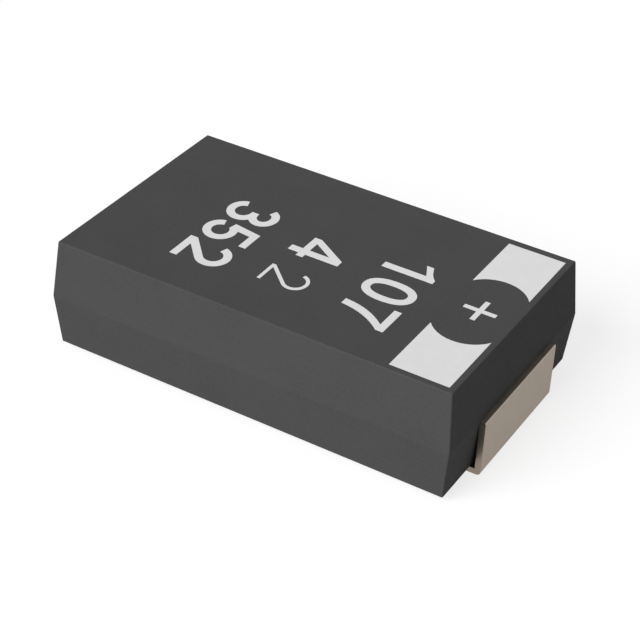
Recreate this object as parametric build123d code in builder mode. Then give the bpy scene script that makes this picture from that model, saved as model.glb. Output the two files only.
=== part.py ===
from build123d import *
import os
from math import radians, tan

# Moulded tantalum chip capacitor for surface mounting, 7.3 x 4.3 mm low profile size.
# Millimetres. +X is the anode end and +Z is up. The origin is the middle of the
# footprint, on the plane that the two feet are soldered to.

# Moulded case, measured at the parting line, where it is widest
case_length = 7.10
case_width = 4.30
upper_height = 1.00
lower_height = 0.90
draft_angle = 5.0
case_edge_radius = 0.025

# Leads, both bent from the same strip
lead_thickness = 0.10
lead_width = 2.40
lead_below_parting = 0.02
foot_length = 1.30
foot_bend_radius = 0.075
shoulder_radius = 0.02

# Weld tab, the anode lead's narrow inner end
tab_width = 1.20
tab_shoulder = 0.40
tab_corner_radius = 0.12
tab_to_washer = 0.23

# Cradle, the cathode lead's stepped inner end
step_length = 0.30
step_bend_radius = 0.06
step_to_block = 0.35
cradle_setback = 0.40

# Resin left round the coated block, at the parting line
side_wall = 0.48
cathode_end_wall = 1.00
anode_end_room = 1.63

# Sintered block and its coats, from the inside out
pellet_height = 1.00
pellet_edge_radius = 0.12
polymer_thickness = 0.02
carbon_thickness = 0.02
silver_thickness = 0.03
carbon_setback = 0.25
silver_setback = 0.45

# Anode wire and the washer on it
wire_diameter = 0.26
wire_to_back = 1.40
wire_on_tab = 0.65
weld_flat_depth = 0.03
washer_diameter = 0.80
washer_thickness = 0.15

# Conductive adhesive between the block and the cradle
adhesive_thickness = 0.03
adhesive_margin = 0.15

# Polarity bar with a rounded window, marked flush into the top near its anode edge
mark_depth = 0.02
bar_length = 0.98
bar_to_end = 0.11
bar_to_side = 0.13
bar_shift = -0.018
window_length = 1.20
window_width = 1.82
window_shift = -0.015

# Levels above the soldering plane
parting_level = lead_thickness + lower_height
top_level = parting_level + upper_height
lead_top = parting_level - lead_below_parting
wire_level = lead_top + wire_diameter / 2 - weld_flat_depth

# Growth of the block by each coat
carbon_growth = polymer_thickness + carbon_thickness
silver_growth = carbon_growth + silver_thickness
cradle_top = wire_level - pellet_height / 2 - silver_growth - adhesive_thickness

# Places along the length
case_end = case_length / 2
lead_reach = case_end + lead_thickness
block_back = -case_end + cathode_end_wall
pellet_back = block_back + silver_growth
pellet_front = case_end - anode_end_room
carbon_front = pellet_front - carbon_setback
silver_front = pellet_front - silver_setback
tab_end = pellet_front + washer_thickness + tab_to_washer
cradle_start = block_back - step_to_block
cradle_end = silver_front - cradle_setback
adhesive_back = pellet_back + pellet_edge_radius + adhesive_margin
adhesive_front = cradle_end - adhesive_margin

# Block and top face
pellet_length = pellet_front - pellet_back
pellet_width = case_width - 2 * (side_wall + silver_growth)
upper_draft = upper_height * tan(radians(draft_angle))
bar_middle = case_end - upper_draft - bar_to_end - bar_length / 2
bar_width = case_width - 2 * (upper_draft + bar_to_side)


def case_half(upwards, height):
    """One half of the moulding, drafted away from the parting line, with its free edges softened."""
    with BuildPart() as half:
        with BuildSketch(Plane((0, 0, parting_level), z_dir=(0, 0, upwards))):
            Rectangle(case_length, case_width)
        extrude(amount=height, taper=draft_angle)
        outwards = Axis((0, 0, parting_level), (0, 0, upwards))
        parting_edges = half.edges().group_by(outwards)[0]
        fillet(half.edges() - parting_edges, case_edge_radius)
    return half.part


def lead_outline(side, inner_run, inner_radii):
    """Side view of a lead, drawn along the middle of its strip: foot, upright, shoulder, inner run."""
    half_strip = lead_thickness / 2
    run = [
        (lead_reach - foot_length, half_strip),
        (lead_reach - half_strip, half_strip),
        (lead_reach - half_strip, lead_top - half_strip),
    ] + inner_run
    with BuildSketch() as outline:
        with BuildLine():
            FilletPolyline([(side * x, z) for x, z in run], radius=[0, 0] + inner_radii)
        trace(line_width=lead_thickness)
        fillet(outline.vertices().sort_by_distance((side * lead_reach, 0))[0], foot_bend_radius)
        fillet(outline.vertices().sort_by_distance((side * lead_reach, lead_top))[0], shoulder_radius)
    return outline.sketch


def block(growth, front):
    """The sintered block grown on all sides by its coats, cut off at front. Its long edges are rounded."""
    with BuildPart() as grown:
        with BuildSketch(Plane.XY.offset(wire_level)):
            with Locations(((pellet_back + pellet_front) / 2, 0)):
                Rectangle(pellet_length + 2 * growth, pellet_width + 2 * growth)
        extrude(amount=pellet_height / 2 + growth, both=True)
        fillet(grown.edges().filter_by(Axis.X), pellet_edge_radius + growth)
        split(bisect_by=Plane.YZ.offset(front), keep=Keep.BOTTOM)
    return grown.part


with BuildPart() as anode_terminal:
    with BuildSketch(Plane.XZ):
        add(lead_outline(1, [(tab_end, lead_top - lead_thickness / 2)], []))
    extrude(amount=lead_width / 2, both=True)
    with BuildSketch(Plane.XY.offset(lead_top)) as beside_tab:
        with Locations((tab_end, 0)):
            tab_length = case_end - tab_shoulder - tab_end
            Rectangle(tab_length, lead_width, align=(Align.MIN, Align.CENTER))
            Rectangle(tab_length, tab_width, align=(Align.MIN, Align.CENTER), mode=Mode.SUBTRACT)
        shoulder_corners = beside_tab.vertices().group_by(Axis.X)[-1].sort_by(Axis.Y)[1:3]
        fillet(shoulder_corners, tab_corner_radius)
    extrude(amount=-lead_thickness, mode=Mode.SUBTRACT)
anode_terminal.part.label = "anode_terminal"

with BuildPart() as cathode_terminal:
    cradle_run = [
        (step_length - cradle_start, lead_top - lead_thickness / 2),
        (-cradle_start, cradle_top - lead_thickness / 2),
        (-cradle_end, cradle_top - lead_thickness / 2),
    ]
    with BuildSketch(Plane.XZ):
        add(lead_outline(-1, cradle_run, [step_bend_radius + lead_thickness / 2] * 2))
    extrude(amount=lead_width / 2, both=True)
cathode_terminal.part.label = "cathode_terminal"

with BuildPart() as tantalum_wire:
    with BuildSketch(Plane.YZ.offset(pellet_back + wire_to_back)):
        with Locations((0, wire_level)):
            Circle(wire_diameter / 2)
    extrude(amount=tab_end + wire_on_tab - pellet_back - wire_to_back)
    with BuildSketch(Plane.XY.offset(lead_top)):
        with Locations((tab_end, 0)):
            Rectangle(wire_on_tab, wire_diameter, align=(Align.MIN, Align.CENTER))
    extrude(amount=-weld_flat_depth, mode=Mode.SUBTRACT)
tantalum_wire.part.label = "tantalum_wire"

with BuildPart() as tantalum_pellet:
    add(block(0, pellet_front))
    add(tantalum_wire.part, mode=Mode.SUBTRACT)
tantalum_pellet.part.label = "tantalum_pellet"

with BuildPart() as insulating_washer:
    with BuildSketch(Plane.YZ.offset(pellet_front)):
        with Locations((0, wire_level)):
            Circle(washer_diameter / 2)
            Circle(wire_diameter / 2, mode=Mode.SUBTRACT)
    extrude(amount=washer_thickness)
insulating_washer.part.label = "insulating_washer"

# The polymer closes round the whole block, up to the rim of the washer
with BuildPart() as polymer_layer:
    add(block(polymer_thickness, pellet_front + polymer_thickness))
    for covered in (tantalum_pellet, tantalum_wire, insulating_washer):
        add(covered.part, mode=Mode.SUBTRACT)
polymer_layer.part.label = "polymer_layer"

# Carbon and silver are cups that stop short of the anode end, the silver furthest
with BuildPart() as carbon_layer:
    add(block(carbon_growth, carbon_front))
    add(block(polymer_thickness, pellet_front), mode=Mode.SUBTRACT)
carbon_layer.part.label = "carbon_layer"

with BuildPart() as silver_layer:
    add(block(silver_growth, silver_front))
    add(block(carbon_growth, pellet_front), mode=Mode.SUBTRACT)
silver_layer.part.label = "silver_layer"

with BuildPart() as silver_adhesive:
    with BuildSketch(Plane.XY.offset(cradle_top)):
        with Locations((adhesive_back, 0)):
            Rectangle(
                adhesive_front - adhesive_back,
                lead_width - 2 * adhesive_margin,
                align=(Align.MIN, Align.CENTER),
            )
    extrude(amount=adhesive_thickness)
silver_adhesive.part.label = "silver_adhesive"

with BuildPart() as polarity_mark:
    with BuildSketch(Plane.XY.offset(top_level)):
        with Locations((bar_middle, bar_shift)):
            Rectangle(bar_length, bar_width)
        with Locations((bar_middle + window_shift, bar_shift)):
            SlotOverall(window_width, window_length, rotation=90, mode=Mode.SUBTRACT)
    extrude(amount=-mark_depth)
polarity_mark.part.label = "polarity_mark"

inset_pieces = [
    polarity_mark,
    anode_terminal,
    cathode_terminal,
    tantalum_wire,
    tantalum_pellet,
    insulating_washer,
    polymer_layer,
    carbon_layer,
    silver_layer,
    silver_adhesive,
]

# The resin is moulded round the pieces set in it, so it fills all that they leave
with BuildPart() as moulded_case:
    add(case_half(1, upper_height))
    add(case_half(-1, lower_height))
    for inset in inset_pieces:
        add(inset.part, mode=Mode.SUBTRACT)
moulded_case.part.label = "moulded_case"

os.makedirs("parts", exist_ok=True)
for piece in [moulded_case] + inset_pieces:
    export_step(piece.part, f"parts/{piece.part.label}.step")
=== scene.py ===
from math import copysign, cos, pi, radians, sin
from typing import NamedTuple

import bmesh
import bpy
from bpy.props import FloatProperty, FloatVectorProperty, PointerProperty, StringProperty
from mathutils import Matrix, Vector
from mathutils.geometry import delaunay_2d_cdt


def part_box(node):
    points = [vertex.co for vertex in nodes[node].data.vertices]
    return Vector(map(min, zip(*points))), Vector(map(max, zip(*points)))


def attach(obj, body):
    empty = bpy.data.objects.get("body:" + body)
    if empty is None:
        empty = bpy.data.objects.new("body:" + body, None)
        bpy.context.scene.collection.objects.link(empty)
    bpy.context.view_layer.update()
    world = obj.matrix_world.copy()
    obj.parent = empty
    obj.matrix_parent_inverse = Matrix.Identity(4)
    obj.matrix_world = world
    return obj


# Finishes, printed figures and studio for the moulded tantalum chip capacitor.
# Metres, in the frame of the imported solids: +X is the anode end, +Z is up, the feet stand on z = 0.

bl_info = {
    "name": "Tantalum capacitor finish",
    "version": (1, 0, 0),
    "blender": (4, 5, 0),
    "location": "View3D > Sidebar > Capacitor",
    "description": "Finishes, printed figures and studio of a moulded tantalum chip capacitor",
    "category": "Object",
}

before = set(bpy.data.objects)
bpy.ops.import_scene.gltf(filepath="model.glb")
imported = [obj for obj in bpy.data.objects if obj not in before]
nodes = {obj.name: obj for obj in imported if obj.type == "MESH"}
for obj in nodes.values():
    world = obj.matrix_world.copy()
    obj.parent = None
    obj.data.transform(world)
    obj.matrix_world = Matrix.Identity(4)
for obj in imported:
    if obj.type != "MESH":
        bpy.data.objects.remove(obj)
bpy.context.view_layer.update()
top_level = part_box("moulded_case")[1].z

MM = 0.001
UM = 0.000001
WHITE = (1.0, 1.0, 1.0, 1.0)


class CaseSettings(bpy.types.PropertyGroup):
    """Looks of the moulded case."""

    resin_dark: FloatVectorProperty(
        name="Resin, dark",
        description="Darker tone of the moulded epoxy",
        subtype="COLOR",
        size=3,
        min=0,
        max=1,
        default=(0.0480, 0.0480, 0.0483),
    )
    resin_light: FloatVectorProperty(
        name="Resin, light",
        description="Lighter tone of the moulded epoxy, round the filler grains",
        subtype="COLOR",
        size=3,
        min=0,
        max=1,
        default=(0.0684, 0.0684, 0.0687),
    )
    grain_depth: FloatProperty(
        name="Mould grain depth",
        description="Depth of the fine grain that the spark-eroded mould leaves",
        unit="LENGTH",
        precision=7,
        min=0,
        default=2 * UM,
    )


class PrintSettings(bpy.types.PropertyGroup):
    """Looks and sizes of the white marking on the top."""

    ink: FloatVectorProperty(
        name="Ink",
        description="Tone of the white marking",
        subtype="COLOR",
        size=3,
        min=0,
        max=1,
        default=(0.72, 0.72, 0.72),
    )
    film: FloatProperty(
        name="Ink film",
        description="Height of the printed film above the top of the case",
        unit="LENGTH",
        precision=7,
        min=0,
        default=4 * UM,
    )
    stem: FloatProperty(
        name="Stem",
        description="Width of the strokes of the large figures",
        unit="LENGTH",
        precision=6,
        min=0,
        default=0.136 * MM,
    )
    fine_stem: FloatProperty(
        name="Fine stem",
        description="Width of the strokes of the fine figure",
        unit="LENGTH",
        precision=6,
        min=0,
        default=0.06 * MM,
    )
    plus_stem: FloatProperty(
        name="Plus stem",
        description="Width of the strokes of the plus sign",
        unit="LENGTH",
        precision=6,
        min=0,
        default=0.084 * MM,
    )
    plus_size: FloatProperty(
        name="Plus size",
        description="Length of the strokes of the plus sign",
        unit="LENGTH",
        precision=6,
        min=0,
        default=0.54 * MM,
    )
    first_line: StringProperty(
        name="First line",
        description="Three figures nearest the polarity bar, out of 0, 1, 2, 3, 4, 5 and 7",
        default="107",
    )
    second_line: StringProperty(
        name="Second line",
        description="Single figure of the middle line, out of the same",
        default="4",
    )
    fine_figure: StringProperty(
        name="Fine figure",
        description="Thin figure beside the middle line, out of the same",
        default="2",
    )
    third_line: StringProperty(
        name="Third line",
        description="Three figures farthest from the polarity bar, out of the same",
        default="352",
    )


class LeadSettings(bpy.types.PropertyGroup):
    """Looks of the two terminals."""

    plating_dark: FloatVectorProperty(
        name="Plating, dark",
        description="Darker tone of the tin plate",
        subtype="COLOR",
        size=3,
        min=0,
        max=1,
        default=(0.333, 0.288, 0.244),
    )
    plating_light: FloatVectorProperty(
        name="Plating, light",
        description="Lighter tone of the tin plate",
        subtype="COLOR",
        size=3,
        min=0,
        max=1,
        default=(0.367, 0.317, 0.269),
    )
    plating_glance: FloatVectorProperty(
        name="Plating, at a glance",
        description="Tint of what the tin plate mirrors where it is seen from a low angle",
        subtype="COLOR",
        size=3,
        min=0,
        max=1,
        default=(0.74, 0.71, 0.68),
    )
    # Partly the bare sheared metal, partly painted shade that darkens the sides of the strip turned to
    # Y.
    cut_edge_and_painted_shade: FloatVectorProperty(
        name="Cut edge",
        description="Tone of the sheared sides of the strip, where the plate is thin",
        subtype="COLOR",
        size=3,
        min=0,
        max=1,
        default=(0.293, 0.250, 0.200),
    )
    rolling_depth: FloatProperty(
        name="Rolling line depth",
        description="Depth of the lines that rolling leaves along the strip",
        unit="LENGTH",
        precision=7,
        min=0,
        default=0.12 * UM,
    )


class AnodeSettings(bpy.types.PropertyGroup):
    """Looks of the sintered block, its wire and the washer on the wire."""

    # Painted shade: this darkest tone of the block stands for the shade in the pores between its
    # grains.
    painted_pore_shade: FloatVectorProperty(
        name="Block, pores",
        description="Tone between the grains of the sintered block",
        subtype="COLOR",
        size=3,
        min=0,
        max=1,
        default=(0.10, 0.11, 0.14),
    )
    powder: FloatVectorProperty(
        name="Block, powder",
        description="Tone of the grains of the sintered block, under their oxide",
        subtype="COLOR",
        size=3,
        min=0,
        max=1,
        default=(0.20, 0.21, 0.24),
    )
    # Painted highlight: this lightest tone of the block stands for glints on grains that catch the
    # light.
    glint: FloatVectorProperty(
        name="Block, glints",
        description="Tone of the brightest grains of the sintered block",
        subtype="COLOR",
        size=3,
        min=0,
        max=1,
        default=(0.27, 0.28, 0.31),
    )
    wire_dark: FloatVectorProperty(
        name="Wire, dark",
        description="Darker tone of the drawn wire",
        subtype="COLOR",
        size=3,
        min=0,
        max=1,
        default=(0.36, 0.37, 0.40),
    )
    wire_light: FloatVectorProperty(
        name="Wire, light",
        description="Lighter tone of the drawn wire",
        subtype="COLOR",
        size=3,
        min=0,
        max=1,
        default=(0.46, 0.47, 0.50),
    )
    washer_dark: FloatVectorProperty(
        name="Washer, dark",
        description="Darker tone of the white washer",
        subtype="COLOR",
        size=3,
        min=0,
        max=1,
        default=(0.80, 0.80, 0.765),
    )
    washer_light: FloatVectorProperty(
        name="Washer, light",
        description="Lighter tone of the white washer",
        subtype="COLOR",
        size=3,
        min=0,
        max=1,
        default=(0.88, 0.88, 0.855),
    )


class CoatSettings(bpy.types.PropertyGroup):
    """Looks of the block's coats and of the adhesive under them."""

    polymer_dark: FloatVectorProperty(
        name="Polymer, dark",
        description="Darker tone of the conductive polymer",
        subtype="COLOR",
        size=3,
        min=0,
        max=1,
        default=(0.014, 0.020, 0.050),
    )
    polymer_light: FloatVectorProperty(
        name="Polymer, light",
        description="Lighter tone of the conductive polymer",
        subtype="COLOR",
        size=3,
        min=0,
        max=1,
        default=(0.030, 0.042, 0.090),
    )
    graphite_dark: FloatVectorProperty(
        name="Graphite, dark",
        description="Darker tone of the carbon coat",
        subtype="COLOR",
        size=3,
        min=0,
        max=1,
        default=(0.018, 0.018, 0.019),
    )
    graphite_light: FloatVectorProperty(
        name="Graphite, light",
        description="Lighter tone of the carbon coat, on its flakes",
        subtype="COLOR",
        size=3,
        min=0,
        max=1,
        default=(0.045, 0.045, 0.047),
    )
    silver_paint: FloatVectorProperty(
        name="Silver paint",
        description="Tone of the silver coat",
        subtype="COLOR",
        size=3,
        min=0,
        max=1,
        default=(0.60, 0.59, 0.57),
    )
    silver_paste: FloatVectorProperty(
        name="Silver paste",
        description="Tone of the conductive adhesive",
        subtype="COLOR",
        size=3,
        min=0,
        max=1,
        default=(0.52, 0.51, 0.49),
    )


class StageSettings(bpy.types.PropertyGroup):
    """Studio: key lamp, surroundings, floor and camera."""

    surroundings: FloatProperty(
        name="Surroundings",
        description="Level of the soft light that comes from all round",
        min=0,
        default=0.25,
    )
    key_level: FloatProperty(
        name="Key lamp",
        description="Level of the large soft lamp, where 1 is full white on a face turned to it",
        min=0,
        default=1.152,
    )
    key_from: FloatVectorProperty(
        name="Key lamp from",
        description="Direction in which the key lamp stands, seen from the part",
        subtype="DIRECTION",
        size=3,
        default=(-0.35, -0.845, 0.70),
    )
    key_spread: FloatProperty(
        name="Key lamp spread",
        description="How wide the key lamp looks from the part. A wider lamp is softer",
        subtype="ANGLE",
        min=0,
        default=radians(40),
    )
    floor_tone: FloatVectorProperty(
        name="Floor",
        description="Tone of the floor in the light that it gives back to the part",
        subtype="COLOR",
        size=3,
        min=0,
        max=1,
        default=(0.55, 0.55, 0.55),
    )
    floor_glow: FloatProperty(
        name="Floor glow",
        description="How bright the floor looks in full shadow, where 1 is white",
        subtype="FACTOR",
        min=0,
        max=1,
        default=0.78,
    )
    floor_shading: FloatProperty(
        name="Floor shading",
        description="How much the light on the floor adds to its glow. More makes the shadow stand out",
        subtype="FACTOR",
        min=0,
        max=1,
        default=0.25,
    )
    floor_reach: FloatProperty(
        name="Floor reach",
        description="How far the floor runs from the part on each side",
        unit="LENGTH",
        min=0,
        default=0.4,
    )
    camera_azimuth: FloatProperty(
        name="Camera azimuth",
        description="Turn of the camera round the part, from the front towards the anode end",
        subtype="ANGLE",
        default=radians(29.625),
    )
    camera_elevation: FloatProperty(
        name="Camera elevation",
        description="Height of the camera above the horizon",
        subtype="ANGLE",
        default=radians(35.054),
    )
    camera_roll: FloatProperty(
        name="Camera roll",
        description="Turn of the camera about its own axis",
        subtype="ANGLE",
        default=radians(2.785),
    )
    camera_place: FloatVectorProperty(
        name="Camera place",
        description="Where the camera stands",
        subtype="TRANSLATION",
        unit="LENGTH",
        size=3,
        default=(11.7908 * MM, -20.5553 * MM, 17.3239 * MM),
    )
    field_of_view: FloatProperty(
        name="Field of view",
        description="Angle that the picture's width takes in",
        subtype="ANGLE",
        default=radians(20),
    )


class NodeTree:
    """The nodes of a material or of a world, begun afresh."""

    def __init__(self, owner):
        owner.use_nodes = True
        self.tree = owner.node_tree
        self.tree.nodes.clear()

    def add(self, kind, values=None, **options):
        """New node of that kind, with values on its inlets and options set."""
        node = self.tree.nodes.new(kind)
        for option, value in options.items():
            setattr(node, option, value)
        for inlet, value in (values or {}).items():
            node.inputs[inlet].default_value = value
        return node

    def join(self, outlet, inlet):
        self.tree.links.new(outlet, inlet)

    def larger(self, first, second):
        """The larger of two values at each point."""
        node = self.add("ShaderNodeMath", operation="MAXIMUM")
        self.join(first, node.inputs[0])
        self.join(second, node.inputs[1])
        return node.outputs[0]

    def lights_and_shows(self, output, lights, shows):
        """Ends the tree with one shader for the light that it gives and another for how it looks.

        It looks the same to the camera, in a mirror image and through a clear piece.
        """
        path = self.add("ShaderNodeLightPath")
        looked_at = path.outputs["Is Camera Ray"]
        for kind in ("Is Glossy Ray", "Is Transmission Ray"):
            looked_at = self.larger(looked_at, path.outputs[kind])
        choice = self.add("ShaderNodeMixShader")
        self.join(looked_at, choice.inputs[0])
        self.join(lights.outputs[0], choice.inputs[1])
        self.join(shows.outputs[0], choice.inputs[2])
        self.join(choice.outputs[0], self.add(output).inputs["Surface"])


# Nearly all of a noise's values lie between these two
NOISE_LOW = 0.3
NOISE_HIGH = 0.7


class Finish(NodeTree):
    """A finish in the making. Its textures are laid in the part's own frame, in millimetres."""

    def __init__(self, name, values):
        self.material = bpy.data.materials.new(name)
        super().__init__(self.material)
        self.shader = self.add("ShaderNodeBsdfPrincipled", values)
        self.join(self.shader.outputs["BSDF"], self.add("ShaderNodeOutputMaterial").inputs["Surface"])
        coordinates = self.add("ShaderNodeTexCoord")
        self.place = coordinates.outputs["Object"]
        self.facing = coordinates.outputs["Normal"]
        self.normal = None

    def stretched(self, per_mm):
        """The place on the part, with so many texture units to a millimetre of X, Y and Z."""
        mapping = self.add("ShaderNodeMapping", {"Scale": [each / MM for each in per_mm]})
        self.join(self.place, mapping.inputs["Vector"])
        return mapping.outputs["Vector"]

    def noise(self, per_mm, detail=2.0, roughness=0.5):
        """Soft noise. per_mm is one number, or one for each axis where the noise is drawn out."""
        axes = per_mm if isinstance(per_mm, tuple) else (per_mm,) * 3
        values = {"Scale": 1.0, "Detail": detail, "Roughness": roughness}
        texture = self.add("ShaderNodeTexNoise", values)
        self.join(self.stretched(axes), texture.inputs["Vector"])
        return texture.outputs[0]

    def cells(self, per_mm):
        """Distances from the middles of a cell pattern, for grains and flakes."""
        texture = self.add("ShaderNodeTexVoronoi", {"Scale": 1.0})
        self.join(self.stretched((per_mm,) * 3), texture.inputs["Vector"])
        return texture.outputs["Distance"]

    def turned_to(self, axis):
        """How squarely a face is turned to one of the part's axes, from nought to one."""
        parts = self.add("ShaderNodeSeparateXYZ")
        self.join(self.facing, parts.inputs["Vector"])
        squarely = self.add("ShaderNodeMath", operation="ABSOLUTE")
        self.join(parts.outputs[axis], squarely.inputs[0])
        return squarely.outputs[0]

    def sum_of(self, first, second, share):
        """first plus a share of second."""
        added = self.add("ShaderNodeMath", {1: share}, operation="MULTIPLY_ADD")
        self.join(second, added.inputs[0])
        self.join(first, added.inputs[2])
        return added.outputs[0]

    def colour(self, pattern, stops):
        """Base colour laid over a pattern, as (place, colour) stops."""
        ramp = self.add("ShaderNodeValToRGB")
        elements = ramp.color_ramp.elements
        for index, (place, tone) in enumerate(stops):
            element = elements[index] if index < 2 else elements.new(place)
            element.position = place
            element.color = (*tone, 1.0)
        self.join(pattern, ramp.inputs["Fac"])
        self.join(ramp.outputs["Color"], self.shader.inputs["Base Color"])

    def roughness(self, noise, low, high):
        """Roughness that runs from low to high over a noise."""
        values = {"From Min": NOISE_LOW, "From Max": NOISE_HIGH, "To Min": low, "To Max": high}
        spread = self.add("ShaderNodeMapRange", values)
        self.join(noise, spread.inputs["Value"])
        self.join(spread.outputs["Result"], self.shader.inputs["Roughness"])

    def relief(self, pattern, depth):
        """Adds relief of that depth, in metres, over what is there already."""
        bump = self.add("ShaderNodeBump", {"Strength": 1.0, "Distance": depth})
        self.join(pattern, bump.inputs["Height"])
        if self.normal is not None:
            self.join(self.normal, bump.inputs["Normal"])
        self.normal = bump.outputs["Normal"]
        self.join(self.normal, self.shader.inputs["Normal"])


def dress(node, finish):
    """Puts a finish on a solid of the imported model."""
    solid = nodes[node]
    solid.data.materials.clear()
    solid.data.materials.append(finish.material)


def moulded_resin(settings):
    """Matt moulded epoxy: silica filler just below the skin, fine mould grain, faint flow."""
    finish = Finish("moulded_resin", {"Specular IOR Level": 0.06})
    filler = finish.sum_of(finish.noise(per_mm=80.0), finish.cells(per_mm=110.0), share=0.5)
    flow = finish.noise(per_mm=1.1, detail=4.0)
    tones = [(0.6, settings.resin_dark), (1.0, settings.resin_light)]
    finish.colour(finish.sum_of(filler, flow, share=0.3), tones)
    finish.roughness(finish.noise(per_mm=9.0, detail=3.0), low=0.7, high=0.8)
    finish.relief(finish.noise(per_mm=2.2), depth=2 * UM)
    finish.relief(finish.noise(per_mm=55.0, detail=3.0, roughness=0.6), settings.grain_depth)
    return finish


def white_ink(settings):
    """Matt white marking with a little mottle and a fine tooth."""
    finish = Finish("white_ink", {"Specular IOR Level": 0.3})
    tone = Vector(settings.ink)
    mottle = finish.sum_of(finish.noise(per_mm=5.0, detail=3.0), finish.noise(per_mm=40.0), share=0.5)
    finish.colour(mottle, [(0.4, tone * 0.97), (1.0, tone * 1.02)])
    finish.roughness(finish.noise(per_mm=18.0), low=0.6, high=0.75)
    finish.relief(finish.noise(per_mm=30.0, detail=3.0, roughness=0.6), depth=0.8 * UM)
    return finish


def tin_plate(settings):
    """Satin tin on rolled strip.

    The rolling lines run along the strip, so across Y they are close. The strip's sheared sides are
    turned to Y, and that takes them to the dark end of the tones: partly the bare cut metal, partly
    painted shade on these sides.
    """
    glance = (*settings.plating_glance, 1.0)
    finish = Finish("tin_plate", {"Metallic": 1.0, "Specular Tint": glance})
    lines = finish.noise(per_mm=(1.6, 42.0, 1.6), detail=3.0)
    streaks = finish.sum_of(lines, finish.noise(per_mm=7.0, detail=3.0), share=0.6)
    tones = [(0.0, settings.cut_edge_and_painted_shade), (0.5, settings.plating_dark), (1.0, settings.plating_light)]
    # Faces turned to Y take the darkest tone: bare cut metal, together with painted shade on those
    # sides.
    finish.colour(finish.sum_of(streaks, finish.turned_to("Y"), share=-0.8), tones)
    finish.roughness(finish.noise(per_mm=(3.0, 30.0, 3.0), detail=3.0), low=0.285, high=0.33)
    finish.relief(finish.noise(per_mm=(2.0, 60.0, 2.0)), settings.rolling_depth)
    finish.relief(finish.noise(per_mm=22.0, detail=3.0, roughness=0.6), depth=0.2 * UM)
    return finish


def sintered_block(settings):
    """Porous block pressed from metal powder, blue-grey under its oxide. Its darkest tone is painted
    shade between the grains, and its lightest tone is painted glints on them.
    """
    finish = Finish("sintered_block", {"Metallic": 0.5})
    grains = finish.cells(per_mm=38.0)
    mottle = finish.sum_of(finish.noise(per_mm=6.0, detail=3.0), grains, share=0.5)
    # Painted light: the first stop is painted shade in the pores, and the last stop is painted glints.
    finish.colour(mottle, [(0.45, settings.painted_pore_shade), (0.8, settings.powder), (1.0, settings.glint)])
    finish.roughness(finish.noise(per_mm=20.0), low=0.72, high=0.9)
    finish.relief(grains, depth=7 * UM)
    finish.relief(finish.noise(per_mm=14.0, detail=4.0, roughness=0.65), depth=5 * UM)
    return finish


def drawn_wire(settings):
    """Bright drawn wire, with fine lines along X."""
    finish = Finish("drawn_wire", {"Metallic": 1.0})
    lines = finish.noise(per_mm=(1.5, 70.0, 70.0), detail=3.0)
    finish.colour(lines, [(0.35, settings.wire_dark), (0.65, settings.wire_light)])
    finish.roughness(lines, low=0.29, high=0.4)
    finish.relief(lines, depth=0.8 * UM)
    return finish


def washer_plastic(settings):
    """White fluoropolymer, punched from skived sheet. A little light goes into it."""
    values = {"Specular IOR Level": 0.35, "Subsurface Weight": 0.1, "Subsurface Scale": 0.05 * MM}
    finish = Finish("washer_plastic", values)
    mottle = finish.noise(per_mm=4.0, detail=3.0)
    finish.colour(mottle, [(0.35, settings.washer_dark), (0.65, settings.washer_light)])
    finish.roughness(finish.noise(per_mm=16.0), low=0.45, high=0.6)
    finish.relief(finish.noise(per_mm=(50.0, 9.0, 9.0)), depth=1.2 * UM)
    return finish


def dipped_polymer(settings):
    """Blue-black conductive polymer, dried in several dips."""
    finish = Finish("dipped_polymer", {"Specular IOR Level": 0.5})
    runs = finish.noise(per_mm=(5.0, 1.2, 1.2), detail=3.0)
    dips = finish.sum_of(runs, finish.noise(per_mm=18.0), share=0.3)
    finish.colour(dips, [(0.4, settings.polymer_dark), (0.9, settings.polymer_light)])
    finish.roughness(finish.noise(per_mm=6.0, detail=3.0), low=0.38, high=0.58)
    finish.relief(finish.noise(per_mm=(6.0, 1.6, 1.6)), depth=5 * UM)
    finish.relief(finish.noise(per_mm=26.0, detail=3.0), depth=1.6 * UM)
    return finish


def graphite_coat(settings):
    """Dull graphite, with a slight metal glint on its flakes."""
    finish = Finish("graphite_coat", {"Metallic": 0.25})
    flakes = finish.cells(per_mm=52.0)
    mottle = finish.sum_of(finish.noise(per_mm=3.0, detail=3.0), flakes, share=0.6)
    finish.colour(mottle, [(0.5, settings.graphite_dark), (0.95, settings.graphite_light)])
    finish.roughness(finish.noise(per_mm=30.0), low=0.55, high=0.8)
    finish.relief(flakes, depth=2 * UM)
    finish.relief(finish.noise(per_mm=(4.0, 1.5, 1.5)), depth=4 * UM)
    return finish


def silver_flakes(name, tone, flakes_per_mm, depth):
    """Silver flakes in a binder, as paint or paste. Its ripples are twice as deep as its flakes."""
    finish = Finish(name, {"Metallic": 0.9})
    tone = Vector(tone)
    flakes = finish.cells(flakes_per_mm)
    mottle = finish.sum_of(finish.noise(per_mm=2.5, detail=3.0), flakes, share=0.5)
    finish.colour(mottle, [(0.45, tone * 0.82), (0.95, tone * 1.06)])
    finish.roughness(finish.noise(flakes_per_mm / 2), low=0.42, high=0.62)
    finish.relief(flakes, depth)
    finish.relief(finish.noise(per_mm=(4.0, 1.6, 1.6)), 2 * depth)
    return finish


def arc(centre, radii, start, end, steps=28):
    """Points on an ellipse from one angle to another, in degrees."""
    angles = [radians(start + (end - start) * step / steps) for step in range(steps + 1)]
    return [Vector((centre[0] + radii[0] * cos(a), centre[1] + radii[1] * sin(a))) for a in angles]


def ring(centre, radii, fullness, steps=72):
    """Closed ring, squarer than an ellipse where fullness is over 2."""
    points = []
    for step in range(steps):
        turn = 2 * pi * step / steps
        across, up = (copysign(abs(part) ** (2 / fullness), part) for part in (cos(turn), sin(turn)))
        points.append(Vector((centre[0] + radii[0] * across, centre[1] + radii[1] * up)))
    return points


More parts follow.
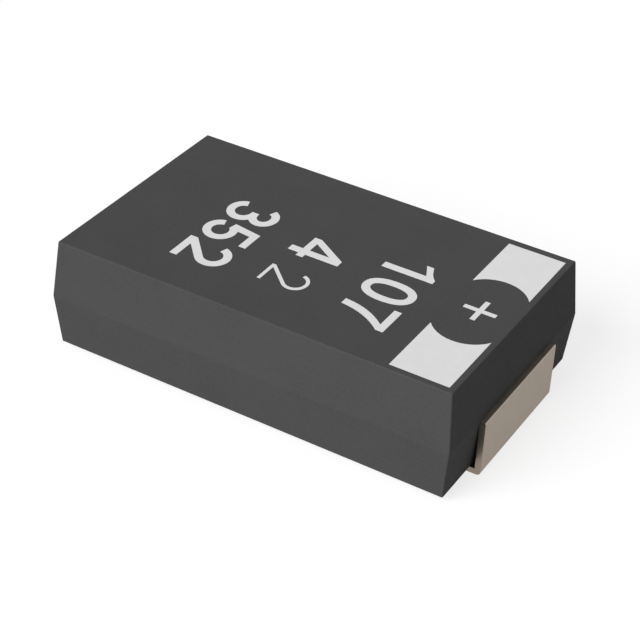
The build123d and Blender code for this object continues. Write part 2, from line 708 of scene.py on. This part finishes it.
def bend(start, control, end, steps=20):
    """Points on a parabola, from start to end, drawn towards control."""
    start, control, end = Vector(start), Vector(control), Vector(end)
    steps_along = [step / steps for step in range(steps + 1)]
    return [start * (1 - t) ** 2 + control * 2 * t * (1 - t) + end * t**2 for t in steps_along]


def stroke(path, width, closed=False):
    """Four-sided cells that follow a path, width wide."""
    count = len(path)
    sides = []
    for index, point in enumerate(path):
        before = path[index - 1] if index or closed else point
        after = path[(index + 1) % count] if index < count - 1 or closed else point
        along = (after - before).normalized()
        across = Vector((-along.y, along.x)) * width / 2
        sides.append((point + across, point - across))
    ahead = sides[1:] + sides[:1] if closed else sides[1:]
    return [[first[1], second[1], second[0], first[0]] for first, second in zip(sides, ahead)]


def between(right_edge, left_edge):
    """Cells that fill a band between its right and its left edge, which have as many points each."""
    return [list(corners) for corners in zip(right_edge, right_edge[1:], left_edge[1:], left_edge)]


def plate(left, bottom, right, top):
    """Upright rectangle as one cell."""
    corners = ((left, bottom), (right, bottom), (right, top), (left, top))
    return [[Vector(corner) for corner in corners]]


def trimmed(cells, width, height):
    """Cells cut off square at the sides of a box that starts at 0, 0."""
    for axis, limit, inwards in ((0, 0, 1), (0, width, -1), (1, 0, 1), (1, height, -1)):
        kept = []
        for cell in cells:
            corners = []
            for here, ahead in zip(cell, cell[1:] + cell[:1]):
                depth, next_depth = (here[axis] - limit) * inwards, (ahead[axis] - limit) * inwards
                if depth >= 0:
                    corners.append(here)
                if depth * next_depth < 0:
                    corners.append(here.lerp(ahead, depth / (depth - next_depth)))
            if len(corners) > 2:
                kept.append(corners)
        cells = kept
    return cells


# Each figure is drawn as cells in a box that starts at 0, 0. Cells may overlap, and what reaches out
# of the box is trimmed off. Its places are shares of the box, and its level bars are a little thinner
# than its stem.
LEVEL_BAR = 0.93


def draw_nought(width, height, stem):
    """A ring a little squarer than an ellipse."""
    radii = ((width - stem) / 2, (height - stem) / 2)
    return stroke(ring((width / 2, height / 2), radii, fullness=2.3), stem, closed=True)


def draw_one(width, height, stem):
    """A post, and a flag that curves up to its top."""
    post = width - stem
    shoulder = post + 0.36 * stem
    tip = 0.80 * height
    notch = 0.82 * height
    over = bend((0, tip), (0.8 * post, 0.875 * height), (shoulder, height), steps=10)
    under_tip = (0, tip - LEVEL_BAR * stem)
    under = bend(under_tip, (0.6 * post, 0.75 * height), (shoulder, notch), steps=10)
    return between(under, over) + plate(post, 0, width, notch) + plate(shoulder, 0, width, height)


def draw_two(width, height, stem):
    """A bowl that runs on straight to the foot, and a level bar at the bottom."""
    reach = (width - stem) / 2
    bowl = 0.25 * height
    hub = Vector((width / 2, height - stem / 2 - bowl))
    foot = Vector((-0.11 * stem, 0.20 * stem))

    def off_line(angle):
        """How far the bowl, at that angle, turns away from the straight run down to the foot."""
        rim = Vector((reach * cos(radians(angle)), bowl * sin(radians(angle))))
        leaving = Vector((rim.y * reach / bowl, -rim.x * bowl / reach))
        return abs(leaving.angle(foot - hub - rim))

    last = min(range(-80, -10), key=off_line)
    neck = arc(hub, (reach, bowl), 168, last)
    run = [neck[-1].lerp(foot, step / 6) for step in range(1, 7)]
    return stroke(neck + run, stem) + plate(0, 0, width, 0.95 * stem)


def draw_three(width, height, stem):
    """Two bowls, the upper one smaller, and a short tongue where they meet."""
    half = stem / 2
    middle = width / 2
    reach = (width - stem) / 2
    upper = 0.215 * height - 0.12 * stem
    lower = (height - stem) / 2 - upper
    waist = height - half - 2 * upper
    top_bowl = arc((middle, height - half - upper), (0.92 * reach, upper), 165, -90)
    low_bowl = arc((middle, half + lower), (reach, lower), 90, -168)
    tongue = plate(middle - 0.07 * width, waist - 0.95 * half, middle, waist + 0.95 * half)
    return stroke(top_bowl, stem) + stroke(low_bowl, stem) + tongue


def draw_four(width, height, stem):
    """A slant, a post and a level bar that runs on past the post."""
    half = stem / 2
    post = 0.74 * width
    bar = 0.285 * height
    half_bar = 0.45 * stem
    foot = Vector((-0.2 * stem, bar + 0.15 * stem))
    head = Vector((post - 1.02 * half, height))
    along = (head - foot).normalized()
    across = Vector((along.y, -along.x)) * 0.88 * stem
    beyond = along * stem
    cells = [[foot, foot + across, head + across + beyond, head + beyond]]
    cells += plate(post - half, 0, post + half, height)
    cells += plate(0, bar - half_bar, width, bar + half_bar)
    return trimmed(cells, post + half, height) + plate(post, bar - half_bar, width, bar + half_bar)


def draw_five(width, height, stem):
    """A level bar at the top, a slanted back and a bowl."""
    bowl = 0.235 * height
    bar_start = 0.20 * width
    bar = plate(bar_start, height - LEVEL_BAR * stem, 0.93 * width, height)
    belly = stroke(arc((width / 2, stem / 2 + bowl), ((width - stem) / 2, bowl), 138, -168), stem)
    back = [Vector((0.03 * width, 0.445 * height)), belly[0][0]]
    back += [Vector((bar_start + 0.78 * stem, height)), Vector((0.165 * width, height))]
    return bar + belly + [back]


def draw_seven(width, height, stem):
    """A level bar at the top, and a leg that curves down to its foot."""
    under_bar = height - LEVEL_BAR * stem
    foot = 0.22 * width
    right_control = (foot + stem + 0.06 * width, 0.5 * height)
    left_control = (foot + 0.04 * width, 0.5 * height)
    right_edge = bend((foot + stem, 0), right_control, (width, under_bar))
    left_edge = bend((foot, 0), left_control, (width - 1.12 * stem, under_bar))
    return between(right_edge, left_edge) + plate(0, under_bar, width, height)


def draw_plus(width, height, stem):
    """Two strokes that cross in the middle."""
    half = stem / 2
    level = plate(0, height / 2 - half, width, height / 2 + half)
    return level + plate(width / 2 - half, 0, width / 2 + half, height)


FIGURES = {
    "0": draw_nought,
    "1": draw_one,
    "2": draw_two,
    "3": draw_three,
    "4": draw_four,
    "5": draw_five,
    "7": draw_seven,
    "+": draw_plus,
}


def figure_cells(figure, width, height, stem):
    """Plain figure as cells in a box that starts at 0, 0."""
    if figure not in FIGURES:
        raise ValueError(f"there is no drawing for the figure {figure!r}")
    return trimmed(FIGURES[figure](width, height, stem), width, height)


# The triangulation keeps what lies inside the cells' outlines, and takes two points as one where
# they are this close, in millimetres
INSIDE_OUTLINES = 1
SAME_POINT = 1e-5

# The underside of a film lies this far below the top of the case
SUNK = 1 * UM


def flat_mesh(cells, level):
    """Flat mesh of triangles at that level. It covers the cells and leaves their counters open."""
    points, faces = [], []
    for cell in cells:
        faces.append(list(range(len(points), len(points) + len(cell))))
        points += [corner / MM for corner in cell]
    merged = delaunay_2d_cdt(points, [], faces, INSIDE_OUTLINES, SAME_POINT)
    corners, _, triangles, _, _, owners = merged
    mesh = bmesh.new()
    placed = [mesh.verts.new((corner.x * MM, corner.y * MM, level)) for corner in corners]
    for triangle, owner in zip(triangles, owners):
        if owner:
            mesh.faces.new([placed[index] for index in triangle])
    return mesh


def new_object(name, data):
    """Object in the scene, with that data."""
    made = bpy.data.objects.new(name, data)
    bpy.context.scene.collection.objects.link(made)
    return made


def ink_film(name, cells, film, material):
    """One printed piece: the cells merged into one thin film that lies on the top of the case."""
    mesh = flat_mesh(cells, top_level - SUNK)
    raised = bmesh.ops.extrude_face_region(mesh, geom=mesh.faces[:])
    lifted = [part for part in raised["geom"] if isinstance(part, bmesh.types.BMVert)]
    bmesh.ops.translate(mesh, verts=lifted, vec=(0, 0, SUNK + film))
    bmesh.ops.recalc_face_normals(mesh, faces=mesh.faces)
    data = bpy.data.meshes.new(name)
    mesh.to_mesh(data)
    mesh.free()
    data.materials.append(material)
    piece = new_object(name, data)
    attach(piece, "root")


class Line(NamedTuple):
    """One line of the marking, in millimetres. It reads towards -Y, with its feet towards -X.

    The feet stand at x = base. Each place is where a figure starts along Y, and its width.
    """

    base: float
    height: float
    places: tuple


FIRST_LINE = Line(base=1.023, height=0.891, places=((0.605, 0.396), (-0.050, 0.582), (-0.736, 0.587)))
SECOND_LINE = Line(base=-0.423, height=0.896, places=((0.309, 0.591),))
FINE_LINE = Line(base=-0.385, height=0.770, places=((-0.690, 0.460),))
THIRD_LINE = Line(base=-1.873, height=0.909, places=((0.636, 0.577), (-0.050, 0.573), (-0.736, 0.591)))

# The middle of the bar's window, where the plus sign stands, lies this far back from the bar's own
WINDOW_SETBACK = 0.016 * MM


def plus_line(size):
    """The plus sign alone, in the middle of the window."""
    low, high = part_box("polarity_mark")
    middle = (low + high) / 2
    base = middle.x - WINDOW_SETBACK - size / 2
    start = middle.y + size / 2
    return Line(base=base / MM, height=size / MM, places=((start / MM, size / MM),))


def on_top(cells, base, start):
    """Lays cells on the top face, with their feet at x = base and reading from y = start towards -Y."""
    return [[Vector((base + corner.y, start - corner.x)) for corner in cell] for cell in cells]


def print_line(name, figures, line, stem, film, material):
    """One line of the marking as one printed piece."""
    if len(figures) != len(line.places):
        raise ValueError(f"{name} has room for {len(line.places)} figures, and got {figures!r}")
    cells = []
    for figure, (start, width) in zip(figures, line.places):
        drawn = figure_cells(figure, width * MM, line.height * MM, stem)
        cells += on_top(drawn, line.base * MM, start * MM)
    ink_film(name, cells, film, material)


class CAPACITOR_OT_finish_case(bpy.types.Operator):
    """Give the moulded case its matt epoxy finish"""

    bl_idname = "capacitor.finish_case"
    bl_label = "Finish case"

    def execute(self, context):
        dress("moulded_case", moulded_resin(context.scene.capacitor_case))
        return {"FINISHED"}


class CAPACITOR_OT_print_marking(bpy.types.Operator):
    """Finish the polarity bar and print the plain figures and the plus sign"""

    bl_idname = "capacitor.print_marking"
    bl_label = "Print marking"

    def execute(self, context):
        settings = context.scene.capacitor_print
        ink = white_ink(settings)
        dress("polarity_mark", ink)
        for name, figures, line, stem in (
            ("first_line", settings.first_line, FIRST_LINE, settings.stem),
            ("second_line", settings.second_line, SECOND_LINE, settings.stem),
            ("fine_figure", settings.fine_figure, FINE_LINE, settings.fine_stem),
            ("third_line", settings.third_line, THIRD_LINE, settings.stem),
            ("plus_sign", "+", plus_line(settings.plus_size), settings.plus_stem),
        ):
            print_line(name, figures, line, stem, settings.film, ink.material)
        return {"FINISHED"}


class CAPACITOR_OT_finish_terminals(bpy.types.Operator):
    """Give both bent terminals their satin tin plate"""

    bl_idname = "capacitor.finish_terminals"
    bl_label = "Finish terminals"

    def execute(self, context):
        plating = tin_plate(context.scene.capacitor_leads)
        for terminal in ("anode_terminal", "cathode_terminal"):
            dress(terminal, plating)
        return {"FINISHED"}


class CAPACITOR_OT_finish_anode(bpy.types.Operator):
    """Finish the sintered block, its wire and the washer on the wire"""

    bl_idname = "capacitor.finish_anode"
    bl_label = "Finish anode"

    def execute(self, context):
        settings = context.scene.capacitor_anode
        dress("tantalum_pellet", sintered_block(settings))
        dress("tantalum_wire", drawn_wire(settings))
        dress("insulating_washer", washer_plastic(settings))
        return {"FINISHED"}


class CAPACITOR_OT_finish_coats(bpy.types.Operator):
    """Finish the coats of the block and the adhesive that joins them to the cradle"""

    bl_idname = "capacitor.finish_coats"
    bl_label = "Finish coats"

    def execute(self, context):
        settings = context.scene.capacitor_coats
        dress("polymer_layer", dipped_polymer(settings))
        dress("carbon_layer", graphite_coat(settings))
        paint = silver_flakes("silver_paint", settings.silver_paint, flakes_per_mm=44.0, depth=1.5 * UM)
        paste = silver_flakes("silver_paste", settings.silver_paste, flakes_per_mm=26.0, depth=3 * UM)
        dress("silver_layer", paint)
        dress("silver_adhesive", paste)
        return {"FINISHED"}


def pale_floor(settings):
    """Wide matt floor. It lights the part as a grey floor does, and looks white but for a shadow."""
    reach = settings.floor_reach
    corners = ((-reach, -reach), (reach, -reach), (reach, reach), (-reach, reach))
    mesh = bmesh.new()
    mesh.faces.new([mesh.verts.new((x, y, 0)) for x, y in corners])
    data = bpy.data.meshes.new("floor")
    mesh.to_mesh(data)
    mesh.free()
    material = bpy.data.materials.new("pale_floor")
    tree = NodeTree(material)
    lights = tree.add("ShaderNodeBsdfDiffuse", {"Color": (*settings.floor_tone, 1.0)})
    shading = (settings.floor_shading,) * 3
    shaded = tree.add("ShaderNodeBsdfDiffuse", {"Color": (*shading, 1.0)})
    glow = tree.add("ShaderNodeEmission", {"Strength": settings.floor_glow})
    shows = tree.add("ShaderNodeAddShader")
    tree.join(shaded.outputs[0], shows.inputs[0])
    tree.join(glow.outputs[0], shows.inputs[1])
    tree.lights_and_shows("ShaderNodeOutputMaterial", lights, shows)
    data.materials.append(material)
    new_object("floor", data)


def soft_surroundings(settings):
    """Grey light from all round, which looks plain white."""
    world = bpy.data.worlds.new("surroundings")
    tree = NodeTree(world)
    lights = tree.add("ShaderNodeBackground", {"Color": WHITE, "Strength": settings.surroundings})
    shows = tree.add("ShaderNodeBackground", {"Color": WHITE})
    tree.lights_and_shows("ShaderNodeOutputWorld", lights, shows)
    bpy.context.scene.world = world


def key_lamp(settings):
    """Far lamp, as soft as a wide panel. At level 1 a white face turned to it is full white."""
    data = bpy.data.lights.new("key_lamp", "SUN")
    data.energy = settings.key_level * pi
    data.angle = settings.key_spread
    lamp = new_object("key_lamp", data)
    lamp.rotation_euler = Vector(settings.key_from).to_track_quat("Z", "Y").to_euler()


# The camera's clipping distances
NEAREST_SEEN = 1 * MM
FARTHEST_SEEN = 1.0


def photo_camera(settings):
    """Camera at its place, turned round Z from the front, tilted down and rolled."""
    data = bpy.data.cameras.new("camera")
    data.angle = settings.field_of_view
    data.clip_start = NEAREST_SEEN
    data.clip_end = FARTHEST_SEEN
    camera = new_object("camera", data)
    turn = Matrix.Rotation(settings.camera_azimuth, 4, "Z")
    tilt = Matrix.Rotation(pi / 2 - settings.camera_elevation, 4, "X")
    roll = Matrix.Rotation(settings.camera_roll, 4, "Z")
    camera.matrix_world = Matrix.Translation(settings.camera_place) @ turn @ tilt @ roll
    bpy.context.scene.camera = camera


class CAPACITOR_OT_set_stage(bpy.types.Operator):
    """Set up the floor, the surroundings, the lamp and the camera"""

    bl_idname = "capacitor.set_stage"
    bl_label = "Set stage"

    def execute(self, context):
        settings = context.scene.capacitor_stage
        pale_floor(settings)
        soft_surroundings(settings)
        key_lamp(settings)
        photo_camera(settings)
        context.scene.view_settings.view_transform = "Standard"
        return {"FINISHED"}


# Each step's settings, with the name that the scene keeps them under, and its operator
STEPS = (
    ("capacitor_case", CaseSettings, CAPACITOR_OT_finish_case),
    ("capacitor_print", PrintSettings, CAPACITOR_OT_print_marking),
    ("capacitor_leads", LeadSettings, CAPACITOR_OT_finish_terminals),
    ("capacitor_anode", AnodeSettings, CAPACITOR_OT_finish_anode),
    ("capacitor_coats", CoatSettings, CAPACITOR_OT_finish_coats),
    ("capacitor_stage", StageSettings, CAPACITOR_OT_set_stage),
)


class CAPACITOR_PT_sidebar(bpy.types.Panel):
    """Lists each step of the finish under its settings."""

    bl_idname = "CAPACITOR_PT_sidebar"
    bl_label = "Capacitor"
    bl_space_type = "VIEW_3D"
    bl_region_type = "UI"
    bl_category = "Capacitor"

    def draw(self, context):
        for kept_as, group, operator in STEPS:
            box = self.layout.box()
            for name in group.__annotations__:
                box.prop(getattr(context.scene, kept_as), name)
            box.operator(operator.bl_idname)


def register():
    for kept_as, group, operator in STEPS:
        bpy.utils.register_class(group)
        bpy.utils.register_class(operator)
        setattr(bpy.types.Scene, kept_as, PointerProperty(type=group))
    bpy.utils.register_class(CAPACITOR_PT_sidebar)


def unregister():
    bpy.utils.unregister_class(CAPACITOR_PT_sidebar)
    for kept_as, group, operator in reversed(STEPS):
        delattr(bpy.types.Scene, kept_as)
        bpy.utils.unregister_class(operator)
        bpy.utils.unregister_class(group)


def main():
    register()
    bpy.ops.capacitor.finish_case()
    bpy.ops.capacitor.print_marking()
    bpy.ops.capacitor.finish_terminals()
    bpy.ops.capacitor.finish_anode()
    bpy.ops.capacitor.finish_coats()
    bpy.ops.capacitor.set_stage()


if __name__ == "__main__":
    main()
